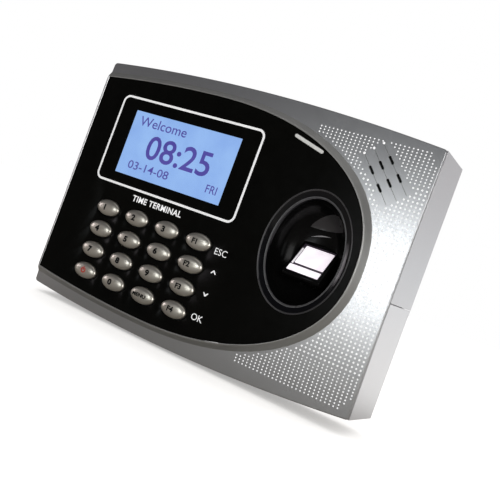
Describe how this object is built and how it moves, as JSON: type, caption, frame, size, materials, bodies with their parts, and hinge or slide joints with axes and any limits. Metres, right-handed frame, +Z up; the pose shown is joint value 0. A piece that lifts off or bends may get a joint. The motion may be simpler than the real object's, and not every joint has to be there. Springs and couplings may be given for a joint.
{
  "type": "wall-mounted time clock",
  "caption": "Wall-mounted employee time clock with a backlit display, a domed oval keypad, a recessed fingerprint reader, a speaker grille and a hinged port door.",
  "frame": {"origin": "centre of the four wall screw holes on the back face of the wall bracket", "axes": "+X to the right of the face, +Z up, the face looks along -Y and the wall is the plane Y = 0"},
  "size_m": [0.1864, 0.0379, 0.1304],
  "materials": {
    "case_silver": "fine metallic paint on plastic, satin",
    "panel_black": "polished",
    "clear_window": "polished",
    "light_lens": "frosted",
    "sensor_glass": "polished, lit from inside",
    "key_silver": "satin silver paint",
    "dark_plastic": "moulded",
    "green_plastic": "moulded",
    "white_plastic": "moulded",
    "lead_plastic": "insulated wire",
    "ribbon_amber": "film",
    "board_green": "lacquered circuit board",
    "mat_rubber": "moulded",
    "lcd_blue": "lit",
    "steel": "plated",
    "bracket_steel": "zinc plated sheet"
  },
  "bodies": {
    "case": {"front_housing": "case_silver", "rear_housing": "case_silver", "face_panel": "panel_black", "display_window": "clear_window", "status_light": "light_lens", "finger_bowl": "panel_black", "sensor_glass": "sensor_glass", "sensor_module": "dark_plastic", "sensor_board": "board_green", "sensor_screws": "steel", "keypad_mat": "mat_rubber", "keypad_board": "board_green", "keypad_screws": "steel", "lcd_frame": "steel", "lcd_glass": "lcd_blue", "lcd_backlight": "white_plastic", "lcd_board": "board_green", "lcd_screws": "steel", "main_board": "board_green", "main_chips": "dark_plastic", "board_screws": "steel", "cell_holder": "dark_plastic", "backup_cell": "steel", "network_jack": "steel", "power_jack": "dark_plastic", "terminal_block": "green_plastic", "usb_board": "board_green", "usb_port": "steel", "door_pin": "steel", "speaker": "dark_plastic", "speaker_gasket": "mat_rubber", "status_led": "board_green", "display_ribbon": "ribbon_amber", "keypad_ribbon": "ribbon_amber", "sensor_lead": "lead_plastic", "speaker_lead": "lead_plastic", "usb_lead": "lead_plastic", "case_screws": "steel", "wall_bracket": "bracket_steel", "retaining_screw": "steel"},
    "key_1": {"key_1": "key_silver"},
    "key_2": {"key_2": "key_silver"},
    "key_3": {"key_3": "key_silver"},
    "key_f1": {"key_f1": "key_silver"},
    "key_4": {"key_4": "key_silver"},
    "key_5": {"key_5": "key_silver"},
    "key_6": {"key_6": "key_silver"},
    "key_f2": {"key_f2": "key_silver"},
    "key_7": {"key_7": "key_silver"},
    "key_8": {"key_8": "key_silver"},
    "key_9": {"key_9": "key_silver"},
    "key_f3": {"key_f3": "key_silver"},
    "key_power": {"key_power": "key_silver"},
    "key_0": {"key_0": "key_silver"},
    "key_menu": {"key_menu": "key_silver"},
    "key_f4": {"key_f4": "key_silver"},
    "port_door": {"port_door": "case_silver"}
  },
  "joints": [
    {"name": "key_1_press", "type": "slide", "parent": "case", "child": "key_1", "axis": [0, 1, 0], "range_m": [0, 0.001], "stiffness_N_per_m": 1200, "springref_m": -0.0003},
    {"name": "key_2_press", "type": "slide", "parent": "case", "child": "key_2", "axis": [0, 1, 0], "range_m": [0, 0.001], "stiffness_N_per_m": 1200, "springref_m": -0.0003},
    {"name": "key_3_press", "type": "slide", "parent": "case", "child": "key_3", "axis": [0, 1, 0], "range_m": [0, 0.001], "stiffness_N_per_m": 1200, "springref_m": -0.0003},
    {"name": "key_f1_press", "type": "slide", "parent": "case", "child": "key_f1", "axis": [0, 1, 0], "range_m": [0, 0.001], "stiffness_N_per_m": 1200, "springref_m": -0.0003},
    {"name": "key_4_press", "type": "slide", "parent": "case", "child": "key_4", "axis": [0, 1, 0], "range_m": [0, 0.001], "stiffness_N_per_m": 1200, "springref_m": -0.0003},
    {"name": "key_5_press", "type": "slide", "parent": "case", "child": "key_5", "axis": [0, 1, 0], "range_m": [0, 0.001], "stiffness_N_per_m": 1200, "springref_m": -0.0003},
    {"name": "key_6_press", "type": "slide", "parent": "case", "child": "key_6", "axis": [0, 1, 0], "range_m": [0, 0.001], "stiffness_N_per_m": 1200, "springref_m": -0.0003},
    {"name": "key_f2_press", "type": "slide", "parent": "case", "child": "key_f2", "axis": [0, 1, 0], "range_m": [0, 0.001], "stiffness_N_per_m": 1200, "springref_m": -0.0003},
    {"name": "key_7_press", "type": "slide", "parent": "case", "child": "key_7", "axis": [0, 1, 0], "range_m": [0, 0.001], "stiffness_N_per_m": 1200, "springref_m": -0.0003},
    {"name": "key_8_press", "type": "slide", "parent": "case", "child": "key_8", "axis": [0, 1, 0], "range_m": [0, 0.001], "stiffness_N_per_m": 1200, "springref_m": -0.0003},
    {"name": "key_9_press", "type": "slide", "parent": "case", "child": "key_9", "axis": [0, 1, 0], "range_m": [0, 0.001], "stiffness_N_per_m": 1200, "springref_m": -0.0003},
    {"name": "key_f3_press", "type": "slide", "parent": "case", "child": "key_f3", "axis": [0, 1, 0], "range_m": [0, 0.001], "stiffness_N_per_m": 1200, "springref_m": -0.0003},
    {"name": "key_power_press", "type": "slide", "parent": "case", "child": "key_power", "axis": [0, 1, 0], "range_m": [0, 0.001], "stiffness_N_per_m": 1200, "springref_m": -0.0003},
    {"name": "key_0_press", "type": "slide", "parent": "case", "child": "key_0", "axis": [0, 1, 0], "range_m": [0, 0.001], "stiffness_N_per_m": 1200, "springref_m": -0.0003},
    {"name": "key_menu_press", "type": "slide", "parent": "case", "child": "key_menu", "axis": [0, 1, 0], "range_m": [0, 0.001], "stiffness_N_per_m": 1200, "springref_m": -0.0003},
    {"name": "key_f4_press", "type": "slide", "parent": "case", "child": "key_f4", "axis": [0, 1, 0], "range_m": [0, 0.001], "stiffness_N_per_m": 1200, "springref_m": -0.0003},
    {"name": "port_door_hinge", "type": "hinge", "parent": "case", "child": "port_door", "pos_m": [0.0893, -0.015, -0.0052], "axis": [0, -1, 0], "range_deg": [0, 68]}
  ]
}
